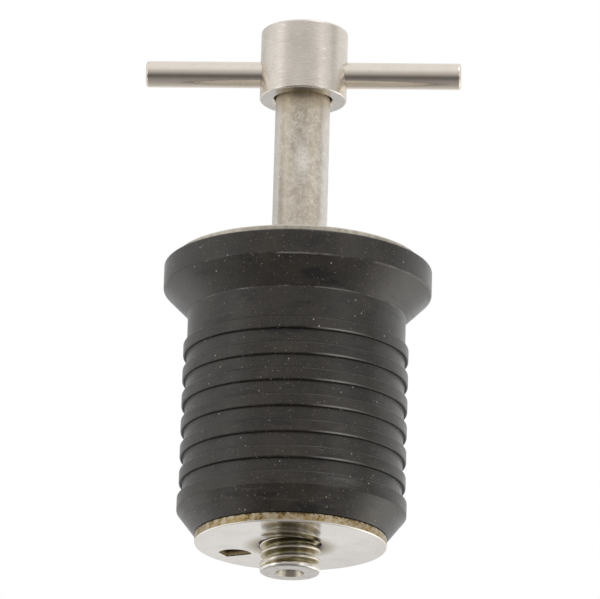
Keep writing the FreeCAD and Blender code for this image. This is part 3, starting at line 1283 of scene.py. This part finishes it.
@dataclass
class THandle:
    """The turned hub and the cross bar, in millimetres."""

    hub_edge: float = 0.35
    foot_edge: float = 0.30
    roof: float = 2.3
    bore: float = 4.62
    bore_mouth: float = 0.35
    mouth_edge: float = 0.05
    bar_room: float = 0.03
    bar_edge: float = 0.45
    bar_steps: int = 6
    drill_reach: float = 20.0
    segments: int = 192
    bar_segments: int = 96

    def build_hub(self) -> Piece:
        """Models the hub with its bore and cross hole.

        Returns:
            The piece.
        """
        low, high = box_mm("handle_hub")
        bar_low, bar_high = box_mm("t_bar")
        outline = rounded([
            (0.0, high.z - self.roof, 0.0),
            (self.bore, high.z - self.roof, 0.0),
            (self.bore, low.z + self.bore_mouth, self.mouth_edge),
            (self.bore + self.bore_mouth, low.z, self.mouth_edge),
            (high.x, low.z, self.foot_edge),
            (high.x, high.z, self.hub_edge),
            (0.0, high.z, 0.0),
        ], False)
        piece = lathe("handle_hub_turned", outline, self.segments)
        hole, reach = ((bar_high.z - bar_low.z) / 2 + self.bar_room) * MM, self.drill_reach * MM
        drill = lathe("cross_drill", [(0.0, -reach), (hole, -reach), (hole, reach), (0.0, reach)],
                      self.bar_segments)
        across(drill, (bar_low.z + bar_high.z) / 2 * MM)
        carve(piece, drill)
        return piece

    def build_bar(self) -> Piece:
        """Models the bar with its rounded end edges.

        Returns:
            The piece.
        """
        low, high = box_mm("t_bar")
        radius = (high.z - low.z) / 2
        outline = rounded([
            (0.0, low.x, 0.0),
            (radius, low.x, self.bar_edge),
            (radius, high.x, self.bar_edge),
            (0.0, high.x, 0.0),
        ], False, self.bar_steps)
        piece = lathe("cross_bar", outline, self.bar_segments)
        across(piece, (low.z + high.z) / 2 * MM)
        return piece

    def place(self, hub: Piece, bar: Piece) -> None:
        """Dresses the hub and the bar."""
        settle(hub, Body.HANDLE, "handle_hub", "hub_steel", TurnedHub(foot=box_mm("handle_hub")[0].z))
        satin = Steel("satin_bar", roughness=0.185, cloud_share=0.3, spots=0.22)
        settle(bar, Body.HANDLE, "t_bar", "bar_steel", satin)


@dataclass
class CarriedOver:
    """The solids that stay as they are and get a finish: the top plate and the thrust collar."""

    nodes: Dict[str, Piece]

    def place(self) -> None:
        """Dresses both."""
        edge = ShearedPlate(foot=box_mm("top_plate")[0].z)
        collar = Steel("turned_collar", marks=1.0, relief=0.00001, roughness=0.26)
        for node, finish in (("top_plate", edge), ("thrust_collar", collar)):
            dress(self.nodes[node], finish.build())
            LOG.info("%s: carried over", node)


@dataclass(frozen=True)
class Panel:
    """A soft patch of light round the plug, or of shade where its level is below 0, in degrees."""

    turn: float
    rise: float
    width: float
    height: float
    level: float
    warmth: float = 0.0


@dataclass
class Studio:
    """The pale floor, the soft surroundings and the camera. Levels of light go by elevation in degrees."""

    front: Tuple[Tuple[float, float], ...] = (
        (-90, 0.43), (-68, 0.36), (-48, 0.24), (-34, 0.145), (-20, 0.20), (-6, 0.42), (8, 0.62), (18, 0.72),
        (32, 0.93), (50, 1.0))
    back: Tuple[Tuple[float, float], ...] = ((-90, 0.43), (-60, 0.56), (-35, 0.76), (-16, 0.95), (0, 1.0))
    front_end: float = 30.0
    back_start: float = 100.0
    panels: Tuple[Panel, ...] = (
        Panel(50, 2, 14, 20, 1.6),
        Panel(46, 56, 40, 30, 1.8),
        Panel(-62, 2, 20, 20, 1.7),
        Panel(88, 10, 16, 44, -0.50),
        Panel(12, 20, 18, 14, -0.10),
        Panel(-140, 18, 55, 50, -0.28),
        Panel(118, -32, 52, 28, 1.55, 1.0),
        Panel(-127, -28, 42, 24, 0.5),
        Panel(52, -40, 20, 22, 1.1),
        Panel(-74, -40, 16, 22, 1.0),
    )
    warm_panel: Colour = (0.0, 0.035, 0.12)
    warm_shade: Colour = (0.0, 0.055, 0.075)
    floor_colour: Colour = (0.86, 0.86, 0.86)
    floor_roughness: float = 0.8
    floor_height: float = -0.36
    floor_thickness: float = 0.01
    floor_radius: float = 2.5
    floor_segments: int = 96
    distance: float = 0.93
    rise: float = math.radians(17.4)
    swing: float = math.radians(3.35)
    roll: float = math.radians(1.62)
    lens_pixels: float = 5840.4
    frame_width: float = 600.0
    sensor: float = 36.0
    nearest: float = 0.01
    farthest: float = 20.0
    aim_height: float = 0.00303
    aim_left: float = 2.6 / 6280.0

    def camera(self) -> None:
        """Sets up the camera below the plug, looking up at it as the photograph does."""
        data = bpy.data.cameras.new("camera")
        data.sensor_width = self.sensor
        data.lens = self.lens_pixels * self.sensor / self.frame_width
        data.clip_start, data.clip_end = self.nearest, self.farthest
        ahead = Vector((-math.sin(self.swing) * math.cos(self.rise),
                        math.cos(self.swing) * math.cos(self.rise), math.sin(self.rise)))
        right = Vector((math.cos(self.swing), math.sin(self.swing), 0.0))
        up = right.cross(ahead)
        turned_right = right * math.cos(self.roll) + up * math.sin(self.roll)
        turned_up = up * math.cos(self.roll) - right * math.sin(self.roll)
        place = Vector((0.0, 0.0, self.aim_height)) - ahead * self.distance + turned_right * self.aim_left
        columns = Matrix((turned_right, turned_up, -ahead)).transposed()
        camera = bpy.data.objects.new("camera", data)
        camera.matrix_world = Matrix.Translation(place) @ columns.to_4x4()
        bpy.context.scene.collection.objects.link(camera)
        bpy.context.scene.camera = camera

    def floor(self) -> None:
        """Lays a round pale floor well below the plug, clear of the camera."""
        radius, top = self.floor_radius, self.floor_height
        under = top - self.floor_thickness
        section = [(0.0, top), (radius, top), (radius, under), (0.0, under)]
        floor = lathe("floor", section, self.floor_segments)
        material, g = new_material("pale_floor")
        g.surface(Base_Color=self.floor_colour, Roughness=self.floor_roughness)
        dress(floor, material)
        floor.visible_glossy = False

    @staticmethod
    def height(rise: Plug) -> Plug:
        """An elevation in degrees as a place on a ramp, from 0 straight down to 1 straight up."""
        return rise * (1.0 / HALF_TURN) + MIDDLE

    def stops(self, levels: Sequence[Tuple[float, float]]) -> List[Tuple[float, Colour]]:
        """Levels of light by elevation as the stops of a ramp, slightly warm in the shade."""
        return [(self.height(rise), tuple(level * (1.0 - warm * (1.0 - level)) for warm in self.warm_shade))
                for rise, level in levels]

    def world(self) -> None:
        """Surrounds the plug with a soft studio that the camera sees as plain white."""
        world = bpy.data.worlds.new("studio")
        bpy.context.scene.world = world
        world.use_nodes = True
        g = Graph(world.node_tree)
        x, y, z = g.split(g.vector("NORMALIZE", g.node("ShaderNodeTexCoord", output="Generated")))
        rise = z.math("ARCSINE") * math.degrees(1.0)
        turn = x.math("ARCTAN2", y * -1.0) * math.degrees(1.0)
        front, back = (g.node("ShaderNodeValToRGB", {"stops": self.stops(levels)}, {0: self.height(rise)})
                       for levels in (self.front, self.back))
        glow = g.mix(turn.math("ABSOLUTE").ramp(self.back_start, self.front_end), back, front)
        for panel in self.panels:
            patch = turn.bell(panel.turn, panel.width) * rise.bell(panel.rise, panel.height) * panel.level
            tint = {part: patch * (1.0 - warm * panel.warmth) for part, warm in enumerate(self.warm_panel)}
            glow = g.vector("ADD", glow, g.node("ShaderNodeCombineXYZ", None, tint))
        soft = g.node("ShaderNodeBackground", None, {"Color": glow, "Strength": 1.0})
        plain = g.node("ShaderNodeBackground", None, {"Color": opaque((1.0, 1.0, 1.0)), "Strength": 1.0})
        seen = g.node("ShaderNodeLightPath", output="Is Camera Ray")
        both = g.node("ShaderNodeMixShader", None, {0: seen, 1: soft, 2: plain})
        g.node("ShaderNodeOutputWorld", None, {"Surface": both})

    def build(self) -> None:
        """Sets up everything round the plug."""
        self.camera()
        self.floor()
        self.world()
        bpy.context.scene.view_settings.view_transform = "Standard"


def main() -> None:
    """Builds the dressed plug and its studio."""
    logging.basicConfig(level=logging.INFO, format="%(message)s")
    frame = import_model()
    window = TabWindow()
    plug = RubberPlug()
    lift = next(joint for joint in frame["joints"] if joint["name"] == "plate_lift")["range_m"][1]
    plug.place(plug.build(window), lift)
    stem = ScrewStem()
    stem.place(stem.build())
    disc = ClampDisc()
    disc.place(disc.build(window))
    handle = THandle()
    handle.place(handle.build_hub(), handle.build_bar())
    CarriedOver(frame["nodes"]).place()
    Studio().build()


if __name__ == "__main__":
    main()
